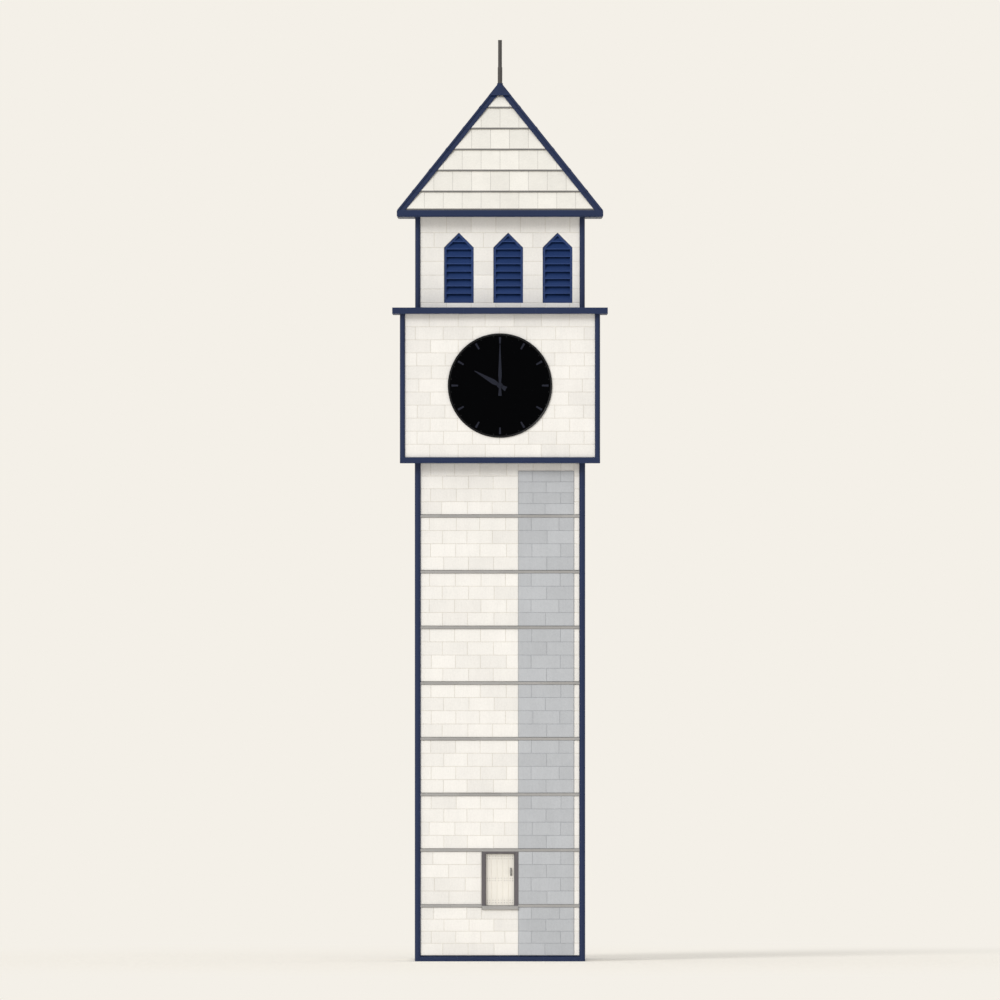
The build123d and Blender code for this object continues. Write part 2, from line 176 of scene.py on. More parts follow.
class RoofSizes(bpy.types.PropertyGroup):
    course_count: number("Courses", "Courses of slates on a slope", 6)
    lap: size("Lap", "How far a course stands out over the one below", 0.032)
    butt: size("Butt", "Height of a course's lower edge", 0.04)
    apex_cut: size("Apex cut", "Height of the missing point above the slopes", 0.2)
    slate_width: size("Slate width", "Width of a slate along its course", 0.46)
    slate_gap: size("Slate gap", "Gap between neighbouring slates", 0.006)
    slate_thickness: size("Slate thickness", "Thickness of a slate above its lower edge", 0.03)
    bed_depth: size("Bed depth", "How far the boards lie behind the slates' faces", 0.012)
    wander: size("Wander", "How unevenly the slates' lower edges lie", 0.007)
    tone_spread: share("Tone spread", "How far the slates' tones lie from the middle one", 0.35)
    wing_stand: size("Capping height", "How far the hip cappings stand out from the slopes", 0.0796)
    wing_width: size("Capping width", "Reach of a hip capping to each side, in plan", 0.11)
    roll_radius: size("Roll radius", "Radius of the roll along a hip", 0.032)
    sheet_lap: size("Sheet lap", "Length of the laps in the hip cappings", 0.045)
    sheet_thickness: size("Sheet thickness", "Thickness of the upper sheet at a lap", 0.003)
    sheet_bed: size("Sheet bed", "How deep a lap reaches into the sheet below", 0.002)
    lap_start: share("Lap start", "Where a lap starts under the roll, as a share of its radius", 0.6)
    fixing_count: number("Fixings", "Fixings along each wing between two laps", 2)
    fixing_place: share("Fixing place", "Where the fixings stand across a wing", 0.78)
    fixing_radius: size("Fixing radius", "Radius of a fixing's head", 0.009)
    fixing_height: size("Fixing height", "Height of a fixing's head", 0.004)


class FittingSizes(bpy.types.PropertyGroup):
    ledge_inset: size("Ledge inset", "Height of the outer ledges' middles in from the door's ends", 0.095)
    ledge_count: number("Ledges", "Ledges behind the door's boards", 3, 2)
    board_count: number("Boards", "Boards across the door", 5)
    nail_radius: size("Nail radius", "Radius of a nail head on the door", 0.008)
    nail_height: size("Nail height", "Height of a nail head on the door", 0.004)
    nail_inset: share("Nail inset", "Where the nails stand in from a board's edges", 0.28)
    nail_spread: size("Nail spread", "How far the nails stand from a ledge's middle", 0.03)
    dial_thickness: size("Dial thickness", "How far a dial stands out from the wall", 0.015)
    rim_width: size("Rim width", "Width of the rim round a dial", 0.044)
    rim_relief: size("Rim relief", "How far the rim stands out from a dial", 0.02)
    rim_arris: size("Rim arris", "Width of the eased outer edge of a rim", 0.004)
    rim_lip: size("Rim lip", "Height of a rim's inner edge", 0.0015)
    rim_bed: size("Rim bed", "How deep a rim's inner edge sits in the dial", 0.004)
    rim_facets: number("Rim facets", "Flats round a rim", 128, 3)
    screw_radius: size("Screw radius", "Radius of a screw head", 0.012)
    screw_height: size("Screw height", "Height of a screw head", 0.005)
    screw_inset: size("Screw inset", "How far the screws stand in from the rim", 0.03)
    screw_count: number("Screws", "Screws round a dial", 24, 3)
    arbor_reach: size("Arbor hole", "Half the width of the hole behind a dial", 0.06)


class TowerColours(bpy.types.PropertyGroup):
    cream_stone: colour("Cream stone", "Limestone of the walls", (0.905, 0.885, 0.855))
    mortar: colour("Mortar", "Lime mortar and the limewashed rooms", (0.74, 0.71, 0.64))
    # Grey stone of the strips is painted shade, standing for the shade down the right of each side of the
    # shaft
    grey_stone: colour("Grey stone", "Stone of the strip up each side", (0.512, 0.530, 0.560))
    band_stone: colour("Band stone", "Stone of the string courses", (0.39, 0.382, 0.375))
    slate: colour("Slate", "Stone slates of the roof", (0.87, 0.845, 0.785))
    # The slates' dark lower edges are painted shade: a dark line under each lap
    slate_edge: colour("Slate edge", "Weathered lower edges of the slates", (0.20, 0.195, 0.19))
    navy: colour("Navy paint", "Paint on mouldings, eaves and hips", (0.008, 0.020, 0.070))
    worn_navy: colour("Worn navy", "Navy paint worn thin along its edges", (0.045, 0.068, 0.14))
    louvre: colour("Louvre paint", "Paint on the belfry's louvres", (0.0145, 0.041, 0.150))
    door: colour("Door paint", "Cream paint on the boarded door", (0.83, 0.80, 0.74))
    worn_door: colour("Worn door", "Door paint worn down to the boards", (0.46, 0.40, 0.32))
    door_frame: colour("Door frame", "Dark grey paint round the door", (0.12, 0.11, 0.12))
    worn_frame: colour("Worn door frame", "Paint worn thin round the door", (0.26, 0.25, 0.24))
    iron: colour("Iron", "Black ironwork on the door", (0.03, 0.03, 0.034))
    dial: colour("Dial", "Black enamel of the dials", (0.0005, 0.0006, 0.0010))
    hand: colour("Hand", "Dim paint of the hands and hour marks", (0.017, 0.019, 0.030))
    pole: colour("Pole", "Grey paint of the pole", (0.062, 0.058, 0.056))
    concrete: colour("Concrete", "Floors inside the shaft", (0.42, 0.41, 0.39))


class StageSettings(bpy.types.PropertyGroup):
    backdrop: colour("Backdrop", "Plain colour of floor and background", (0.905, 0.871, 0.807))
    lens: amount("Lens", "The camera's focal length in millimetres", 1000, 1)
    margin: share("Margin", "Empty share of the view above and below the tower", 0.04)
    floor_half: size("Floor reach", "Half the width of the floor", 900)
    shadow_reach: size("Shadow reach", "How far from the tower the floor shows shadow", 26)
    shadow_hold: share("Shadow hold", "Share of that reach over which the shadow stays whole", 0.35)
    sky: amount("Sky", "Strength of the even light all round", 0.76)
    sky_colour: colour("Sky colour", "Colour of the even light", (1, 0.995, 0.985))
    sun: amount("Sun", "Strength of the soft sun", 1.12)
    sun_colour: colour("Sun colour", "Colour of the soft sun", (1, 0.995, 0.98))
    sun_height: direction("Sun height", "Sun's angle above the ground", 26)
    sun_turn: direction("Sun turn", "Sun's angle left of the front", 36)
    sun_softness: direction("Sun softness", "Sun's width in the sky", 18)


class TowerSettings(bpy.types.PropertyGroup):
    masonry: PointerProperty(type=MasonrySizes, name="Masonry", description="Sizes of the stones")
    mouldings: PointerProperty(type=MouldingSizes, name="Mouldings", description="Sizes of bands and beads")
    belfry: PointerProperty(type=BelfrySizes, name="Belfry", description="Sizes of the belfry's openings")
    roof: PointerProperty(type=RoofSizes, name="Roof", description="Sizes of the slates")
    fittings: PointerProperty(type=FittingSizes, name="Fittings", description="Sizes on the door and dials")
    colours: PointerProperty(type=TowerColours, name="Colours", description="Colours of the finishes")
    stage: PointerProperty(type=StageSettings, name="Stage", description="Floor, lights and camera")


def settings():
    return bpy.context.scene.clock_tower


# ---------------------------------------------------------------- finishes

class Socket:
    """A shader output that adds Math nodes when it is used in an expression."""

    def __init__(self, finish, output):
        self.finish = finish
        self.output = output

    def __add__(self, other):
        return self.finish.math("ADD", self, other)

    def __sub__(self, other):
        return self.finish.math("SUBTRACT", self, other)

    def __rsub__(self, other):
        return self.finish.math("SUBTRACT", other, self)

    def __mul__(self, other):
        return self.finish.math("MULTIPLY", self, other)

    __radd__ = __add__
    __rmul__ = __mul__


class Finish:
    """The nodes of a material or a world, with one shader at their end."""

    def __init__(self, owner):
        owner.use_nodes = True
        self.owner = owner
        self.tree = owner.node_tree
        self.tree.nodes.clear()

    def node(self, kind, options=None, inputs=None, output=0):
        """One node: its own settings first, then values or links for its sockets."""
        node = self.tree.nodes.new(kind)
        for name, value in (options or {}).items():
            setattr(node, name, value)
        for name, value in (inputs or {}).items():
            if isinstance(value, Socket):
                self.tree.links.new(value.output, node.inputs[name])
            else:
                node.inputs[name].default_value = value
        return Socket(self, node.outputs[output]) if len(node.outputs) else node

    def math(self, operation, first, second):
        return self.node("ShaderNodeMath", {"operation": operation}, {0: first, 1: second})

    def place(self, stretch=(1, 1, 1)):
        """The point on the piece, stretched along its axes."""
        point = self.node("ShaderNodeTexCoord", output="Object")
        return self.node("ShaderNodeVectorMath", {"operation": "MULTIPLY"}, {0: point, 1: stretch})

    def noise(self, scale, detail=2.0, stretch=(1, 1, 1)):
        """Cloudy variation about zero, from about -0.5 to 0.5."""
        inputs = {"Vector": self.place(stretch), "Scale": scale, "Detail": detail}
        return self.node("ShaderNodeTexNoise", {}, inputs) - 0.5

    def ramp(self, value, low, high):
        """Zero below low, one above high."""
        inputs = {0: value, 1: low, 2: high}
        return self.node("ShaderNodeMapRange", {"interpolation_type": "SMOOTHSTEP"}, inputs)

    def mixed(self, factor, first, second):
        """A colour between two others."""
        inputs = {0: factor, 6: as_colour(first), 7: as_colour(second)}
        return self.node("ShaderNodeMix", {"data_type": "RGBA", "clamp_factor": True}, inputs, output=2)

    def worn_edges(self, radius, noise):
        """One where an edge is near, ragged by a noise."""
        bevel = self.node("ShaderNodeBevel", {"samples": 4}, {"Radius": radius})
        normal = self.node("ShaderNodeNewGeometry", output="Normal")
        dot = {"operation": "DOT_PRODUCT"}
        flat = self.node("ShaderNodeVectorMath", dot, {0: bevel, 1: normal}, output="Value")
        return self.ramp((1 - flat) + noise * 0.12, 0.05, 0.22)

    def bump(self, height, distance, strength=1.0):
        return self.node("ShaderNodeBump", {}, {"Height": height, "Distance": distance, "Strength": strength})

    def seen(self):
        """One for the rays that show the backdrop: straight to the camera, mirrored or through glass."""
        straight = self.node("ShaderNodeLightPath", output="Is Camera Ray")
        mirrored = self.node("ShaderNodeLightPath", output="Is Glossy Ray")
        through = self.node("ShaderNodeLightPath", output="Is Transmission Ray")
        return self.math("MAXIMUM", straight, self.math("MAXIMUM", mirrored, through))

    def surface(self, base, **sockets):
        """Ends the material in a Principled shader."""
        inputs = {name.replace("_", " "): value for name, value in sockets.items()}
        shader = self.node("ShaderNodeBsdfPrincipled", {}, {"Base Color": base, **inputs})
        self.node("ShaderNodeOutputMaterial", {}, {"Surface": shader})
        return self.owner


def as_colour(value):
    return value if isinstance(value, Socket) else (*value, 1)


def shaded(base, factor):
    return tuple(min(1.0, channel * factor) for channel in base)


def stone(name, base, spread=1.0):
    """Sawn stone: each block's own tone, cloudy bedding, rain streaks, upright tool strokes and pores."""
    finish = Finish(bpy.data.materials.new(name))
    tone = finish.node("ShaderNodeAttribute", {"attribute_name": "tone"}, output="Fac")
    cloud = finish.noise(1.3, 5)
    streak = finish.noise(1.0, 3, (5, 5, 0.4))
    strokes = finish.noise(38, 3, (1, 1, 0.14))
    grain = finish.noise(22, 6)
    pores = finish.noise(70, 3)
    shade = 0.5 + (tone - MIDDLE_TONE) * spread + cloud * 0.7 + streak * 0.5 + strokes * 0.55 + grain * 0.7
    block = finish.mixed(shade, shaded(base, 0.87), shaded(base, 1.035))
    freckled = finish.mixed(finish.ramp(pores, 0.1, 0.24) * 0.55, block, shaded(base, 0.66))
    relief = finish.bump(grain + strokes + pores, 0.005, 0.6)
    return finish.surface(freckled, Roughness=0.86 + grain * 0.16, Specular_IOR_Level=0.3, Normal=relief)


def paint(name, base, worn, roughness=0.5, wear=0.8, stretch=(1, 1, 1)):
    """Brushed paint that thins along the edges."""
    finish = Finish(bpy.data.materials.new(name))
    cloud = finish.noise(0.9, 3)
    brush = finish.noise(34, 4, stretch)
    ragged = finish.noise(18, 4)
    coat = finish.mixed(0.5 + cloud * 0.9 + brush * 0.5, shaded(base, 0.82), shaded(base, 1.2))
    worn_coat = finish.mixed(finish.worn_edges(0.012, ragged) * wear, coat, worn)
    relief = finish.bump(brush + ragged * 0.4, 0.002, 0.4)
    sheen = roughness + brush * 0.2 + cloud * 0.1
    return finish.surface(worn_coat, Roughness=sheen, Specular_IOR_Level=0.3, Normal=relief)


def metal(name, base, roughness=0.5, specular=0.3):
    """Rolled or forged metal under thin paint, faintly dented."""
    finish = Finish(bpy.data.materials.new(name))
    cloud = finish.noise(6, 3)
    dents = finish.noise(60, 3)
    coat = finish.mixed(0.5 + cloud * 0.9, shaded(base, 0.75), shaded(base, 1.25))
    relief = finish.bump(dents + cloud, 0.0015, 0.5)
    sheen = roughness + dents * 0.2
    return finish.surface(coat, Roughness=sheen, Specular_IOR_Level=specular, Normal=relief)


def concrete(name, base):
    """Floated concrete with a faint aggregate."""
    finish = Finish(bpy.data.materials.new(name))
    cloud = finish.noise(1.6, 5)
    grit = finish.noise(70, 3)
    skin = finish.mixed(0.5 + cloud * 1.2 + grit * 0.5, shaded(base, 0.85), shaded(base, 1.1))
    relief = finish.bump(grit, 0.003, 0.5)
    return finish.surface(skin, Roughness=0.9 + grit * 0.1, Specular_IOR_Level=0.3, Normal=relief)


def made(maker, name, *colours, **details):
    """A finish by its name, made the first time that it is asked for."""
    return bpy.data.materials.get(name) or maker(name, *colours, **details)


def wall_finishes():
    """Cream stone for the blocks, and lime mortar for the wall behind them."""
    colours = settings().colours
    return [
        made(stone, "cream_stone", colours.cream_stone),
        made(stone, "lime_mortar", colours.mortar, spread=0),
    ]


def navy_masonry():
    colours = settings().colours
    return made(paint, "navy_masonry_paint", colours.navy, colours.worn_navy)


def navy_timber():
    colours = settings().colours
    navy, worn = colours.navy, colours.worn_navy
    return made(paint, "navy_timber_paint", navy, worn, roughness=0.45, stretch=(1, 1, 8))


def navy_sheet():
    return made(metal, "navy_sheet", settings().colours.navy, roughness=0.42)


def floor_concrete():
    return made(concrete, "floated_concrete", settings().colours.concrete)


def dress(material, *nodes):
    """Gives CAD nodes their finish."""
    for name in nodes:
        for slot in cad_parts[name].material_slots:
            slot.material = material


# ---------------------------------------------------------------- outlines in the plane of a wall

def edges(outline):
    return list(zip(outline, outline[1:] + outline[:1]))


def left_of(outline, start, end, inset=0.0):
    """The part of a convex outline left of a line, and at least an inset away from it."""
    run, rise = end[0] - start[0], end[1] - start[1]
    length = hypot(run, rise)

    def distance(point):
        return (run * (point[1] - start[1]) - rise * (point[0] - start[0])) / length - inset

    kept = []
    for point, following in edges(outline):
        here, there = distance(point), distance(following)
        if here >= 0:
            kept.append(point)
        if here * there < 0:
            part = here / (here - there)
            kept.append(tuple(a + part * (b - a) for a, b in zip(point, following)))
    return kept


def shrunk(outline, inset):
    """A convex outline with each edge moved inward."""
    inner = outline
    for start, end in edges(outline):
        inner = left_of(inner, start, end, inset) if inner else inner
    return inner


def area(outline):
    return sum(a[0] * b[1] - b[0] * a[1] for a, b in edges(outline)) / 2 if len(outline) > 2 else 0


def without(outline, hole):
    """The convex parts of an outline that are left outside a convex hole."""
    inside = outline
    for start, end in edges(hole):
        inside = left_of(inside, start, end) if inside else inside
    if area(inside) < NO_OVERLAP:
        return [outline]
    parts, rest = [], outline
    for start, end in edges(hole):
        parts.append(left_of(rest, end, start))
        rest = left_of(rest, start, end)
    return [part for part in parts if area(part) > SLIVER]


def rectangle(x_from, x_to, z_from, z_to):
    return [(x_from, z_from), (x_to, z_from), (x_to, z_to), (x_from, z_to)]


# ---------------------------------------------------------------- meshes

class Pile:
    """Solids gathered into one mesh, each face with a finish and a tone."""

    def __init__(self):
        self.points = []
        self.faces = []
        self.finishes = []
        self.tones = []

    def add(self, faces, finish=0, tone=MIDDLE_TONE):
        self.faces += faces
        self.finishes += [finish] * len(faces)
        self.tones += [tone] * len(faces)

    def skin(self, rings):
        """The side faces through rings of as many points, and the number of the first point."""
        first, count = len(self.points), len(rings[0])
        faces = []
        for foot in range(first, first + count * (len(rings) - 1), count):
            for this in range(count):
                following = (this + 1) % count
                faces.append((foot + this, foot + following, foot + count + following, foot + count + this))
        for ring in rings:
            self.points += ring
        return faces, first

    def loft(self, rings, tone=MIDDLE_TONE, finish=0):
        """A closed solid through rings of as many points, with its faces turned outward."""
        if inside_out(rings):
            rings = [ring[::-1] for ring in rings]
        sides, first = self.skin(rings)
        count, last = len(rings[0]), len(self.points)
        self.add([tuple(reversed(range(first, first + count)))], finish, tone)
        self.add(sides, finish, tone)
        self.add([tuple(range(last - count, last))], finish, tone)

    def turn(self, place, up, profile, count):
        """A solid ring round the middle of a face, from a profile of radius and height."""
        rings = []
        for step in range(count + 1):
            angle = tau * (step % count) / count
            across, along = sin(angle), cos(angle)
            rings.append([place(radius * across, up + radius * along, rise) for radius, rise in profile])
        self.add(self.skin(rings)[0])

    def copy(self, node, moved, finish=0):
        """A CAD node's mesh with each of its points moved."""
        first = len(self.points)
        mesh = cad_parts[node].data
        self.points += [moved(vertex.co.copy()) for vertex in mesh.vertices]
        faces = [tuple(first + corner for corner in polygon.vertices) for polygon in mesh.polygons]
        self.add(faces, finish)

    def piece(self, name, materials, body, slot, *replaced):
        """The finished object, riding on its body in place of any CAD nodes named."""
        mesh = bpy.data.meshes.new(name)
        mesh.from_pydata(self.points, [], self.faces)
        for material in materials:
            mesh.materials.append(material)
        mesh.polygons.foreach_set("material_index", self.finishes)
        mesh.attributes.new("tone", "FLOAT", "FACE").data.foreach_set("value", self.tones)
        piece = bpy.data.objects.new(name, mesh)
        bpy.context.scene.collection.objects.link(piece)
        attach(piece, body)
        if replaced:
            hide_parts(*replaced)


def inside_out(rings):
    """Whether the last of some rings runs clockwise, seen from beyond it."""
    turning = sum((point.cross(following) for point, following in edges(rings[-1])), Vector())
    return turning.dot(rings[-1][0] - rings[0][0]) < 0


def facing(side, half):
    """A map from a wall's face, across, up and outward, to a point in space."""
    turn = Matrix.Rotation(side * pi / 2, 3, "Z")
    return lambda across, up, outward=0.0: turn @ Vector((across, -half - outward, up))


def sinker(half, depth):
    """Moves points on the outer faces of a square stage inward by a depth."""
    def sunk(point):
        for axis in (0, 1):
            if abs(point[axis]) > half - CLOSE:
                point[axis] -= depth if point[axis] > 0 else -depth
        return point
    return sunk


def evenly(foot, head, count):
    """The ends of equal steps from one level or place to another."""
    return [foot + (head - foot) * step / count for step in range(count + 1)]


def turns(count):
    """Equal angles all round."""
    return [tau * step / count for step in range(count)]


def spans(stops):
    """Neighbouring pairs of some stops, in order."""
    ordered = sorted(stops)
    return list(zip(ordered, ordered[1:]))


def toned(draw, sizes):
    """A stone's own tone."""
    return draw.uniform(MIDDLE_TONE - sizes.tone_spread, MIDDLE_TONE + sizes.tone_spread)


def bonded(runs, length, odd, draw):
    """Stones along a course, whose upright joints shift by half a stone when it is an odd one."""
    masonry = settings().masonry
    wander = masonry.joint_wander * length
    stones = []
    for start, end in runs:
        count = max(1, round((end - start) / length))
        pitch = (end - start) / count
        shift = pitch / 2 if odd and count > 1 else pitch
        inner = [start + shift + pitch * step + draw.uniform(-wander, wander) for step in range(count)]
        stones += spans([start, end] + [joint for joint in inner if joint < end - masonry.least_length])
    return stones


def beside(holes, foot, head, start, end):
    """The stretches of a course between the sides of the holes that it meets."""
    stops = {start, end}
    for hole in holes:
        across, levels = zip(*hole)
        if min(levels) < head - LEAST_REACH and max(levels) > foot + LEAST_REACH:
            stops |= {min(across), max(across)}
    return spans(stops)


def lay_course(pile, place, foot, head, stones, holes, draw):
    """A course of stones, cut round the holes, each with an arris and a tone of its own."""
    masonry = settings().masonry
    for left, right in stones:
        outlines = [rectangle(left, right, foot, head)]
        for hole in holes:
            outlines = [part for outline in outlines for part in without(outline, hole)]
        for outline in outlines:
            body = shrunk(outline, masonry.joint_width / 2)
            face = shrunk(body, masonry.arris) if body else body
            if area(face) < LEAST_STONE or len(face) != len(body):
                continue
            proud = draw.uniform(-masonry.unevenness, 0)
            bed = -masonry.joint_depth - masonry.bed
            layers = ((body, bed), (body, proud - masonry.arris_fall), (face, proud))
            rings = [[place(x, z, outward) for x, z in layer] for layer, outward in layers]
            pile.loft(rings, toned(draw, masonry))


def lay_courses(pile, place, start, end, levels, holes, draw):
    """Bonded courses between two upright ends."""
    length = settings().masonry.block_length
    for row, (foot, head) in enumerate(spans(levels)):
        stones = bonded(beside(holes, foot, head, start, end), length, row % 2, draw)
        lay_course(pile, place, foot, head, stones, holes, draw)


def lay_moulding(pile, side, section, stones, draw):
    """Lengths of a moulding along a side, with a fine groove at each joint and a mitre at each corner."""
    place = facing(side, 0)
    sizes = settings().mouldings
    groove = sizes.groove
    worn = shrunk(section, groove)
    for left, right in stones:
        rings = []
        ends = ((left, 0, worn), (left, groove, section), (right, -groove, section), (right, 0, worn))
        for across, inset, outline in ends:
            ring = [place(max(-out, min(out, across)) + inset, up, out) for out, up in reversed(outline)]
            rings.append(ring)
        pile.loft(rings, toned(draw, sizes))


def dome(pile, place, across, up, radius, height, sides=10):
    """A round fixing head on a face, from three shrinking rings."""
    rings = []
    for part, rise in ((1.0, -0.3), (0.9, 0.55), (0.45, 1.0)):
        around = [(part * radius * cos(angle), part * radius * sin(angle)) for angle in turns(sides)]
        rings.append([place(across + x, up + z, rise * height) for x, z in around])
    pile.loft(rings)


# ---------------------------------------------------------------- levels and outlines of the tower

def band_feet():
    """The level of each string course's foot."""
    low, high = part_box("string_courses")
    return evenly(low.z, high.z - settings().mouldings.band_height, settings().masonry.bay_count - 2)


def bays():
    """The foot and head of the stone in each bay of the shaft, between the bands."""
    feet = band_feet()
    heads = [foot + settings().mouldings.band_height for foot in feet]
    return list(zip([base_top] + heads, feet + [shaft_top]))


def strip_outline():
    """The grey strip on a side of the shaft, painted shade in grey stone down its right."""
    right = shaft_half - settings().masonry.strip_margin
    return rectangle(doorway_edge, right, base_top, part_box("grey_strips")[1].z)


def roof_levels():
    """The level of each course's foot, and of the top of the slopes."""
    low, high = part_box("eaves")
    slope_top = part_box("front_roof_slope")[1].z
    middle = (low.z + high.z) / 2
    courses = evenly(middle, slope_top + settings().roof.apex_cut, settings().roof.course_count)
    return [eaves_top] + courses[1:-1] + [slope_top]


def roof_reach(level):
    """How far out from the tower's middle the roof's plane is at a level."""
    low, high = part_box("front_roof_slope")
    sizes = settings().roof
    apex = high.z + sizes.apex_cut
    return (apex - level) * (-low.y - sizes.lap) / (apex - eaves_top)


# ---------------------------------------------------------------- operators

class FaceShaft(bpy.types.Operator):
    """Face the shaft's four walls with cream stone between the bands"""
    bl_idname = "clock_tower.face_shaft"
    bl_label = "Shaft stone"
    seed = 11

    def execute(self, context):
        masonry = settings().masonry
        doorway = rectangle(-doorway_edge, doorway_edge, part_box("door_sill")[0].z, doorway_top)
        for side, name in enumerate(SIDES):
            draw = random.Random(self.seed + side)
            nodes, holes = [f"{name}_wall"], [strip_outline()]
            if name == "front":
                nodes = ["front_wall_below_door", "front_wall_beside_door", "front_wall_above_door"]
                holes.append(doorway)
            pile = Pile()
            for node in nodes:
                pile.copy(node, sinker(shaft_half, masonry.joint_depth), finish=1)
            for foot, head in bays():
                levels = evenly(foot, head, masonry.courses_per_bay)
                lay_courses(pile, facing(side, shaft_half), -shaft_half, shaft_half, levels, holes, draw)
            pile.piece(f"{name}_shaft_stone", wall_finishes(), "tower", "wall_stone", *nodes)
        return {"FINISHED"}


class FaceStrips(bpy.types.Operator):
    """Face the strip up each side of the shaft with light grey stone, a painted shade down the right of each
    side
    """
    bl_idname = "clock_tower.face_strips"
    bl_label = "Grey strips"
    seed = 31

    def execute(self, context):
        masonry, grey = settings().masonry, settings().colours.grey_stone
        # The grey stone and its darker mortar are painted shade down the right of each side
        materials = [
            made(stone, "grey_stone", grey),
            made(stone, "grey_mortar", shaded(grey, 0.82), spread=0),
        ]
        (left, _), (right, _), (_, top), _ = strip_outline()
        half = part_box("grey_strips")[1].x
        pile = Pile()
        pile.copy("grey_strips", sinker(half, masonry.joint_depth), finish=1)
        for side in range(len(SIDES)):
            draw = random.Random(self.seed + side)
            for foot, head in bays():
                levels = evenly(foot, min(head, top), masonry.courses_per_bay)
                lay_courses(pile, facing(side, half), left, right, levels, [], draw)
        pile.piece("grey_strip_stone", materials, "tower", "strip_grey", "grey_strips")
        return {"FINISHED"}


class LayBands(bpy.types.Operator):
    """Lay the string courses in lengths of grey stone"""
    bl_idname = "clock_tower.lay_bands"
    bl_label = "String courses"
    seed = 41

    def execute(self, context):
        tower, moulding = settings(), settings().mouldings
        grey = tower.colours.band_stone
        materials = [made(stone, "band_stone", grey), made(stone, "band_mortar", grey, spread=0)]
        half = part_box("string_courses")[1].x
        reach = shaft_half - moulding.shaft_bead * (1 - moulding.band_bite)
        sill_foot, door_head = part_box("door_sill")[0].z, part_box("door_leaf")[1].z
        pile = Pile()
        pile.copy("string_courses", sinker(half, tower.masonry.joint_depth), finish=1)
        for side in range(len(SIDES)):
            draw = random.Random(self.seed + side)
            for row, foot in enumerate(band_feet()):
                head = foot + moulding.band_height
                brow = head - moulding.band_slope
                section = ((shaft_half, foot), (half, foot), (half, brow), (shaft_half, head))
                runs = [(-reach, reach)]
                if side == 0 and foot < door_head and head > sill_foot:
                    runs = [(-reach, -doorway_edge), (doorway_edge, reach)]
                lay_moulding(pile, side, section, bonded(runs, moulding.band_length, row % 2, draw), draw)
        pile.piece("band_stones", materials, "tower", "string_grey", "string_courses")
        return {"FINISHED"}


class LaySlabs(bpy.types.Operator):
    """Lay the base course and the edges of the stage and the cornice in painted stone"""
    bl_idname = "clock_tower.lay_slabs"
    bl_label = "Base course, stage and cornice"
    seed = 61

    def execute(self, context):
        moulding = settings().mouldings
        low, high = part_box("base_course")
        brow = high.z - moulding.base_slope
        section = ((shaft_half, low.z), (high.x, low.z), (high.x, brow), (shaft_half, high.z))
        backing = Pile()
        backing.copy("base_course", sinker(high.x, settings().masonry.joint_depth))
        self.lay_ring("base_course", section, backing, self.seed)
        for step, (node, wall_half) in enumerate((("stage_slab", shaft_half), ("cornice", belfry_half)), 1):
            low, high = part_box(node)
            inner, core = wall_half - moulding.slab_seat, moulding.slab_core
            floor = Pile()
            self.block(floor, inner, low.z, high.z, 1)
            self.block(floor, high.x - core, low.z + core, high.z - core, 0)
            self.lay_ring(node, rectangle(inner, high.x, low.z, high.z), floor, self.seed + step)
        return {"FINISHED"}

    def block(self, pile, half, foot, head, finish):
        """A square slab between two levels."""
        square = rectangle(-half, half, -half, half)
        pile.loft([[Vector((x, y, level)) for x, y in square] for level in (foot, head)], finish=finish)

    def lay_ring(self, node, section, pile, seed):
        """Stones round all four sides, mitred at the corners, over their backing."""
        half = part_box(node)[1].x
        for side in range(len(SIDES)):
            draw = random.Random(seed + side)
            stones = bonded([(-half, half)], settings().mouldings.slab_length, side % 2, draw)
            lay_moulding(pile, side, section, stones, draw)
        pile.piece(f"{node}_stones", [navy_masonry(), floor_concrete()], "tower", "navy_stone", node)


class CarveBeads(bpy.types.Operator):
    """Carve the round corner beads, stone on stone, under navy paint"""
    bl_idname = "clock_tower.carve_beads"
    bl_label = "Corner beads"

    def execute(self, context):
        moulding = settings().mouldings
        shaft_joints = [level for foot, head in bays()[1:] for level in (foot, (foot + head) / 2)]
        pile = Pile()
        self.carve(pile, shaft_half, moulding.shaft_bead, [0, *shaft_joints, shaft_top])
        upper = ((clock_half, clock_floor, clock_top), (belfry_half, belfry_floor, belfry_top))
        for half, foot, head in upper:
            stones = max(1, round((head - foot) / moulding.bead_length))
            self.carve(pile, half, moulding.stage_bead, evenly(foot, head, stones))
        pile.piece("bead_stones", [navy_masonry()], "tower", "navy_stone", "corner_beads")
        return {"FINISHED"}

    def carve(self, pile, half, radius, levels):
        """The beads on the four corners of a stage, with a groove at each joint between their ends."""
        groove = settings().mouldings.groove
        foot, *joints, head = levels
        stops = [(foot, radius)]
        for joint in joints:
            stops += [(joint - groove, radius), (joint, radius - groove), (joint + groove, radius)]
        stops.append((head, radius))
        for side in range(len(SIDES)):
            pile.loft([self.ring(facing(side, half), half, reach, level) for level, reach in stops])

    def ring(self, place, half, radius, level, steps=24):
        """Three quarters of a circle round a corner of the walls, closed through the corner."""
        around = [pi + 1.5 * pi * step / steps for step in range(steps + 1)]
        points = [place(half + radius * cos(angle), level, -radius * sin(angle)) for angle in around]
        return points + [place(half, level)]


class FaceClockStage(bpy.types.Operator):
    """Face the clock stage's four walls with cream stone behind the dials"""
    bl_idname = "clock_tower.face_clock_stage"
    bl_label = "Clock stage stone"
    seed = 51

    def execute(self, context):
        tower = settings()
        reach = tower.fittings.arbor_reach
        arbor_hole = rectangle(-reach, reach, dial_level - reach, dial_level + reach)
        for side, name in enumerate(SIDES):
            pile = Pile()
            pile.copy(f"{name}_clock_wall", sinker(clock_half, tower.masonry.joint_depth), finish=1)
            levels = evenly(clock_floor, clock_top, tower.masonry.stage_courses)
            draw = random.Random(self.seed + side)
            lay_courses(pile, facing(side, clock_half), -clock_half, clock_half, levels, [arbor_hole], draw)
            pile.piece(f"{name}_clock_stone", wall_finishes(), "tower", "wall_stone", f"{name}_clock_wall")
        return {"FINISHED"}


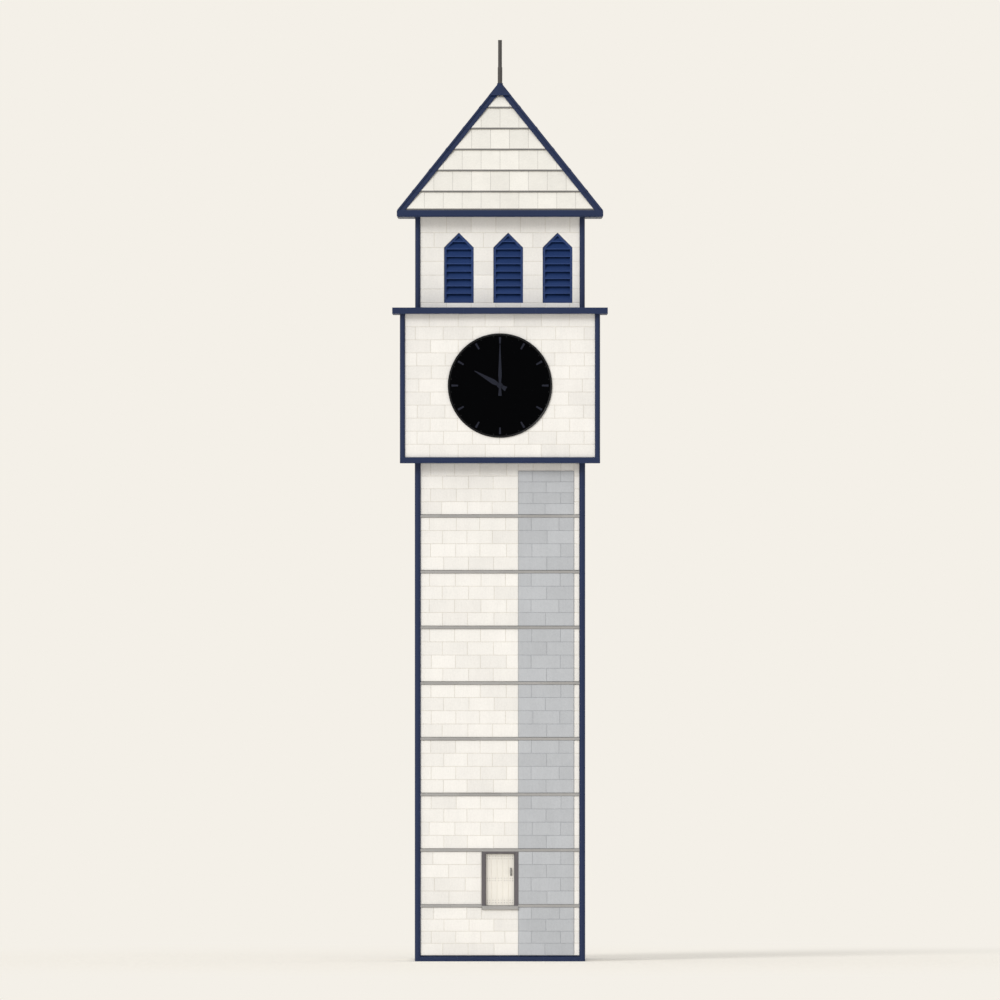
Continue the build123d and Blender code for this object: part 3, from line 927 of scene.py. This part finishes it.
class FitDials(bpy.types.Operator):
    """Finish the dials, marks and hands, and rim and screw the dials"""
    bl_idname = "clock_tower.fit_dials"
    bl_label = "Dials and hands"

    def execute(self, context):
        colours, sizes = settings().colours, settings().fittings
        enamel = made(metal, "dial_enamel", colours.dial, specular=0.02)
        rim_paint = made(metal, "rim_paint", shaded(colours.dial, 4), roughness=0.4, specular=0.25)
        hand_paint = made(metal, "hand_paint", colours.hand, specular=0.08)
        dress(hand_paint, "hour_marks")
        low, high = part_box("front_dial")
        radius = (high.x - low.x) / 2
        field = radius - sizes.rim_width
        arris, crown = sizes.rim_arris, sizes.rim_relief
        rim = (
            (radius, 0), (radius, crown - arris * 0.75), (radius - arris, crown),
            (field, sizes.rim_lip), (field, -sizes.rim_bed),
        )
        ring = field - sizes.screw_inset
        for side, name in enumerate(SIDES):
            dress(enamel, f"{name}_dial")
            dress(hand_paint, f"{name}_hour_hand", f"{name}_minute_hand")
            place = facing(side, clock_half + sizes.dial_thickness)
            pile = Pile()
            pile.turn(place, dial_level, rim, sizes.rim_facets)
            for angle in turns(sizes.screw_count):
                angle += pi / sizes.screw_count
                across, up = ring * sin(angle), dial_level + ring * cos(angle)
                dome(pile, place, across, up, sizes.screw_radius, sizes.screw_height)
            pile.piece(f"{name}_dial_rim", [rim_paint], "tower", "dial_black")
        return {"FINISHED"}


class FaceBelfry(bpy.types.Operator):
    """Face the belfry's four walls with cream stone cut to the openings"""
    bl_idname = "clock_tower.face_belfry"
    bl_label = "Belfry stone"
    seed = 71

    def execute(self, context):
        masonry, sizes = settings().masonry, settings().belfry
        sill = belfry_floor + sizes.sill_height
        shoulder = sill + sizes.jamb_height
        half = sizes.opening_width / 2
        peak = shoulder + half
        quarter = sizes.opening_pitch / 4
        half_pitch = sizes.opening_pitch / 2
        middles = [
            sizes.opening_shift + sizes.opening_pitch * (place - (sizes.opening_count - 1) / 2)
            for place in range(sizes.opening_count)
        ]
        holes = []
        for middle in middles:
            left, right = middle - half, middle + half
            holes.append(rectangle(left, right, sill, shoulder))
            holes.append([(left, shoulder), (right, shoulder), (middle, peak)])
        ends = [-belfry_half, belfry_half]
        jambs = ends + [middle + edge for middle in middles for edge in (-half, half)]
        between = ends + [middle + step for middle in middles for step in (-quarter, quarter)]
        crowns = ends + [middles[0] - half_pitch]
        crowns += [middle + step for middle in middles for step in (0, half_pitch)]
        rows = [(belfry_floor, sill, between)]
        rows += [(foot, head, jambs) for foot, head in spans(evenly(sill, shoulder, sizes.jamb_courses))]
        rows += [(shoulder, peak, crowns), (peak, belfry_top, between)]
        for side, name in enumerate(SIDES):
            draw = random.Random(self.seed + side)
            pile = Pile()
            pile.copy(f"{name}_belfry_wall", sinker(belfry_half, masonry.joint_depth), finish=1)
            for foot, head, stops in rows:
                inside = [stop for stop in stops if abs(stop) <= belfry_half]
                lay_course(pile, facing(side, belfry_half), foot, head, spans(inside), holes, draw)
            pile.piece(f"{name}_belfry_stone", wall_finishes(), "tower", "wall_stone", f"{name}_belfry_wall")
        return {"FINISHED"}


class FitLouvres(bpy.types.Operator):
    """Paint the louvre boards of the belfry's openings"""
    bl_idname = "clock_tower.fit_louvres"
    bl_label = "Louvres"

    def execute(self, context):
        navy = settings().colours.louvre
        louvre_paint = made(paint, "louvre_paint", navy, shaded(navy, 2.2), stretch=(0.2, 0.2, 6))
        dress(louvre_paint, "belfry_louvres")
        return {"FINISHED"}


class BoardEaves(bpy.types.Operator):
    """Paint the eaves and board their undersides, mitred at the corners"""
    bl_idname = "clock_tower.board_eaves"
    bl_label = "Eaves"

    def execute(self, context):
        sizes = settings().belfry
        dress(navy_timber(), "eaves")
        inner = belfry_half + settings().mouldings.stage_bead + sizes.soffit_margin / 2
        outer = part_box("eaves")[1].x - sizes.soffit_margin
        pile = Pile()
        for side in range(len(SIDES)):
            place = facing(side, 0)
            for near, far in spans(evenly(inner, outer, sizes.soffit_boards)):
                near += sizes.soffit_gap / 2
                far -= sizes.soffit_gap / 2
                board = [(-far, far), (far, far), (near, near), (-near, near)]
                levels = (belfry_top - sizes.soffit_thickness, belfry_top)
                pile.loft([[place(x, level, out) for x, out in board] for level in levels])
        pile.piece("soffit_boards", [navy_timber()], "tower", "navy_timber")
        return {"FINISHED"}


class LaySlates(bpy.types.Operator):
    """Lay stone slates on the roof's four slopes, course by course"""
    bl_idname = "clock_tower.lay_slates"
    bl_label = "Roof slates"
    seed = 91

    def execute(self, context):
        colours = settings().colours
        materials = [
            made(stone, "stone_slate", colours.slate, spread=0.8),
            # The second finish, the slates' dark lower edges, is painted shade under each lap
            made(stone, "slate_edge", colours.slate_edge),
            made(stone, "roof_boards", shaded(colours.slate, 0.5), spread=0),
        ]
        for side, name in enumerate(SIDES):
            draw = random.Random(self.seed + side)
            place = facing(side, 0)
            inward = place(0, 0, -settings().roof.bed_depth)
            pile = Pile()
            pile.copy(f"{name}_roof_slope", lambda point, inward=inward: point + inward, finish=2)
            for row, (foot, head) in enumerate(spans(roof_levels())):
                self.lay_course(pile, place, foot, head, row, draw)
            pile.piece(f"{name}_slates", materials, "tower", "roof_cream", f"{name}_roof_slope")
        return {"FINISHED"}

    def lay_course(self, pile, place, foot, head, row, draw):
        """Tapered slates side by side, cut back along the hips."""
        sizes = settings().roof
        edge, tip = roof_reach(foot) + sizes.lap, roof_reach(head)
        foot_line = foot + sizes.butt
        fall = (edge - tip) / (head - foot_line)
        count = ceil(edge / sizes.slate_width) + 1
        for slate in range(-count, count):
            left = (slate + row % 2 / 2) * sizes.slate_width + sizes.slate_gap / 2
            outline = rectangle(left, left + sizes.slate_width - sizes.slate_gap, foot_line, head)
            outline = left_of(outline, (edge, foot_line), (tip, head))
            outline = left_of(outline, (-tip, head), (-edge, foot_line))
            back = draw.uniform(0, sizes.wander)
            if area(outline) < LEAST_SLATE:
                continue
            rear, front = [], []
            for x, z in outline:
                out = edge - back * (head - z) / (head - foot_line) - fall * (z - foot_line)
                at_foot = z < foot_line + CLOSE
                rear.append(place(x, foot, out) if at_foot else place(x, z, out - sizes.slate_thickness))
                front.append(place(x, z, out))
            sides = len(pile.faces) + 1
            pile.loft([rear, front], toned(draw, sizes))
            # Faces along a slate's lower edge take the dark edge finish, painted shade under each lap
            for step, (start, end) in enumerate(edges(outline)):
                if max(start[1], end[1]) < foot_line + CLOSE:
                    pile.finishes[sides + step] = 1


class CapHips(bpy.types.Operator):
    """Lap and screw down the sheet cappings along the roof's hips, and paint the pole"""
    bl_idname = "clock_tower.cap_hips"
    bl_label = "Hip cappings and pole"

    def execute(self, context):
        dress(navy_sheet(), "hip_rolls", "apex_cap")
        dress(made(metal, "pole_paint", settings().colours.pole, specular=0.4), "pole")
        sizes = settings().roof
        pile = Pile()
        away = sizes.wing_width * sizes.fixing_place
        for side in range(len(SIDES)):
            for hand in (-1, 1):
                placed = self.on_wing(side, hand)
                for level in roof_levels()[1:-1]:
                    self.lap(pile, placed, level, sizes)
                for foot, head in spans(roof_levels()):
                    for level in evenly(foot, head, sizes.fixing_count + 1)[1:-1]:
                        dome(pile, placed, away, level, sizes.fixing_radius, sizes.fixing_height)
            for level in roof_levels()[1:-1]:
                self.collar(pile, facing(side, 0), level, sizes)
        pile.piece("hip_laps", [navy_sheet()], "tower", "navy_metal")
        return {"FINISHED"}

    def on_wing(self, side, hand):
        """A map from a wing of a hip capping, by distance from the hip and level, to space."""
        place, stand = facing(side, 0), settings().roof.wing_stand

        def placed(away, up, lift):
            out = roof_reach(up) + stand
            return place(hand * (out - away * 2 ** 0.5), up, out + lift)
        return placed

    def lap(self, pile, placed, level, sizes):
        """The doubled edge where one length of sheet laps over the next on a wing."""
        near = sizes.roll_radius * sizes.lap_start
        outline = rectangle(near, sizes.wing_width, level, level + sizes.sheet_lap)
        lifts = (-sizes.sheet_bed, sizes.sheet_thickness)
        pile.loft([[placed(away, up, lift) for away, up in outline] for lift in lifts])

    def collar(self, pile, place, level, sizes, facets=20):
        """The lap round the roll of the hip at a side's right."""
        ends = []
        for up in (level, level + sizes.sheet_lap):
            out = roof_reach(up) + sizes.wing_stand
            ends.append(place(out, up, out))
        foot, head = ends
        along = (head - foot).normalized()
        across = along.cross(Vector((0, 0, 1))).normalized()
        over = along.cross(across)
        reach = sizes.roll_radius + sizes.sheet_thickness
        around = [(across * cos(angle) + over * sin(angle)) * reach for angle in turns(facets)]
        pile.loft([[middle + arm for arm in around] for middle in ends])


class FitDoor(bpy.types.Operator):
    """Paint the door and its frame and drive the boards' nails"""
    bl_idname = "clock_tower.fit_door"
    bl_label = "Door"

    def execute(self, context):
        colours, sizes = settings().colours, settings().fittings
        iron = made(metal, "black_iron", colours.iron)
        grain = (6, 6, 0.3)
        frame_paint = made(paint, "door_frame_paint", colours.door_frame, colours.worn_frame, stretch=grain)
        door_paint = made(paint, "door_paint", colours.door, colours.worn_door, wear=0.5, stretch=grain)
        dress(frame_paint, "door_frame")
        dress(door_paint, "door_leaf")
        dress(made(stone, "sill_stone", colours.band_stone, spread=0), "door_sill")
        dress(iron, "door_furniture", "door_hinge_pins")
        low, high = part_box("door_leaf")
        place = facing(0, -low.y)
        board = (high.x - low.x) / sizes.board_count
        ledges = evenly(low.z + sizes.ledge_inset, high.z - sizes.ledge_inset, sizes.ledge_count - 1)
        corners = (sizes.nail_inset, 1 - sizes.nail_inset)
        spread = (-sizes.nail_spread, sizes.nail_spread)
        pile = Pile()
        for ledge, plank, corner, up in product(ledges, range(sizes.board_count), corners, spread):
            across = low.x + (plank + corner) * board
            dome(pile, place, across, ledge + up, sizes.nail_radius, sizes.nail_height)
        pile.piece("door_nails", [iron], "door", "dark_iron")
        return {"FINISHED"}


class FinishRooms(bpy.types.Operator):
    """Finish the floors inside the shaft"""
    bl_idname = "clock_tower.finish_rooms"
    bl_label = "Rooms"

    def execute(self, context):
        dress(floor_concrete(), "ground_slab", "entrance_floor")
        return {"FINISHED"}


class SetStage(bpy.types.Operator):
    """Set the plain floor, the even light and the camera"""
    bl_idname = "clock_tower.set_stage"
    bl_label = "Stage"

    def execute(self, context):
        stage = settings().stage
        self.make_floor(context, stage)
        self.make_world(context, stage)
        self.make_sun(context, stage)
        self.make_camera(context, stage)
        return {"FINISHED"}

    def make_floor(self, context, stage):
        """A wide floor that takes the tower's shadow and fades into the background."""
        finish = Finish(bpy.data.materials.new("stage_floor"))
        point = finish.node("ShaderNodeTexCoord", output="Object")
        length = {"operation": "LENGTH"}
        distance = finish.node("ShaderNodeVectorMath", length, {0: point}, output="Value")
        far = finish.ramp(distance, stage.shadow_reach * stage.shadow_hold, stage.shadow_reach)
        lit = stage.sky + stage.sun * sin(stage.sun_height) / pi
        near = finish.node("ShaderNodeBsdfDiffuse", {}, {"Color": as_colour(shaded(stage.backdrop, 1 / lit))})
        glow = finish.node("ShaderNodeEmission", {}, {"Color": as_colour(stage.backdrop)})
        shader = finish.node("ShaderNodeMixShader", {}, {0: far * finish.seen(), 1: near, 2: glow})
        finish.node("ShaderNodeOutputMaterial", {}, {"Surface": shader})
        reach = stage.floor_half
        mesh = bpy.data.meshes.new("stage_floor")
        mesh.from_pydata([(x, y, 0) for x, y in rectangle(-reach, reach, -reach, reach)], [], [(0, 1, 2, 3)])
        mesh.materials.append(finish.owner)
        floor = bpy.data.objects.new("stage_floor", mesh)
        context.scene.collection.objects.link(floor)

    def make_world(self, context, stage):
        """Even light all round, behind which the camera sees the plain backdrop."""
        finish = Finish(bpy.data.worlds.new("plain_sky"))
        sky = {"Color": as_colour(stage.sky_colour), "Strength": stage.sky}
        light = finish.node("ShaderNodeBackground", {}, sky)
        backdrop = finish.node("ShaderNodeBackground", {}, {"Color": as_colour(stage.backdrop)})
        shader = finish.node("ShaderNodeMixShader", {}, {0: finish.seen(), 1: light, 2: backdrop})
        finish.node("ShaderNodeOutputWorld", {}, {"Surface": shader})
        context.scene.world = finish.owner

    def make_sun(self, context, stage):
        """A low soft sun from the left of the front."""
        lamp = bpy.data.lights.new("soft_sun", "SUN")
        lamp.energy = stage.sun
        lamp.angle = stage.sun_softness
        lamp.color = stage.sun_colour
        sun = bpy.data.objects.new("soft_sun", lamp)
        flat = cos(stage.sun_height)
        toward = Vector((-sin(stage.sun_turn) * flat, -cos(stage.sun_turn) * flat, sin(stage.sun_height)))
        sun.rotation_euler = toward.to_track_quat("Z", "Y").to_euler()
        context.scene.collection.objects.link(sun)

    def make_camera(self, context, stage):
        """A long lens square to the front, so that the elevation stays flat."""
        low, high = cad_box
        height = high[2] - low[2]
        lens = bpy.data.cameras.new("camera")
        lens.lens = stage.lens
        camera = bpy.data.objects.new("camera", lens)
        seen_height = height / (1 - 2 * stage.margin)
        distance = seen_height / lens.sensor_width * lens.lens
        lens.clip_end = distance + 2 * stage.floor_half
        camera.location = (0, -distance, low[2] + height / 2)
        camera.rotation_euler = (pi / 2, 0, 0)
        context.scene.collection.objects.link(camera)
        context.scene.camera = camera
        context.scene.view_settings.view_transform = "Standard"


OPERATORS = (
    FaceShaft, FaceStrips, LayBands, LaySlabs, CarveBeads, FaceClockStage, FitDials, FaceBelfry, FitLouvres,
    BoardEaves, LaySlates, CapHips, FitDoor, FinishRooms, SetStage,
)


class ClockTowerPanel(bpy.types.Panel):
    """The tower's sizes and colours, and its steps in the order in which they are made"""
    bl_idname = "VIEW3D_PT_clock_tower"
    bl_label = "Clock Tower"
    bl_space_type = "VIEW_3D"
    bl_region_type = "UI"
    bl_category = "Clock Tower"

    def draw(self, context):
        for group_name in TowerSettings.__annotations__:
            group = getattr(context.scene.clock_tower, group_name)
            box = self.layout.box()
            box.label(text=group_name.capitalize())
            for entry in type(group).__annotations__:
                box.prop(group, entry)
        for operator in OPERATORS:
            self.layout.operator(operator.bl_idname)


CLASSES = (
    MasonrySizes, MouldingSizes, BelfrySizes, RoofSizes, FittingSizes, TowerColours, StageSettings,
    TowerSettings, *OPERATORS, ClockTowerPanel,
)


def register():
    for each in CLASSES:
        bpy.utils.register_class(each)
    bpy.types.Scene.clock_tower = PointerProperty(
        type=TowerSettings, name="Clock Tower", description="All sizes and colours"
    )


def unregister():
    del bpy.types.Scene.clock_tower
    for each in reversed(CLASSES):
        bpy.utils.unregister_class(each)


def main():
    register()
    for operator in OPERATORS:
        group, step = operator.bl_idname.split(".")
        getattr(getattr(bpy.ops, group), step)()


if __name__ == "__main__":
    main()
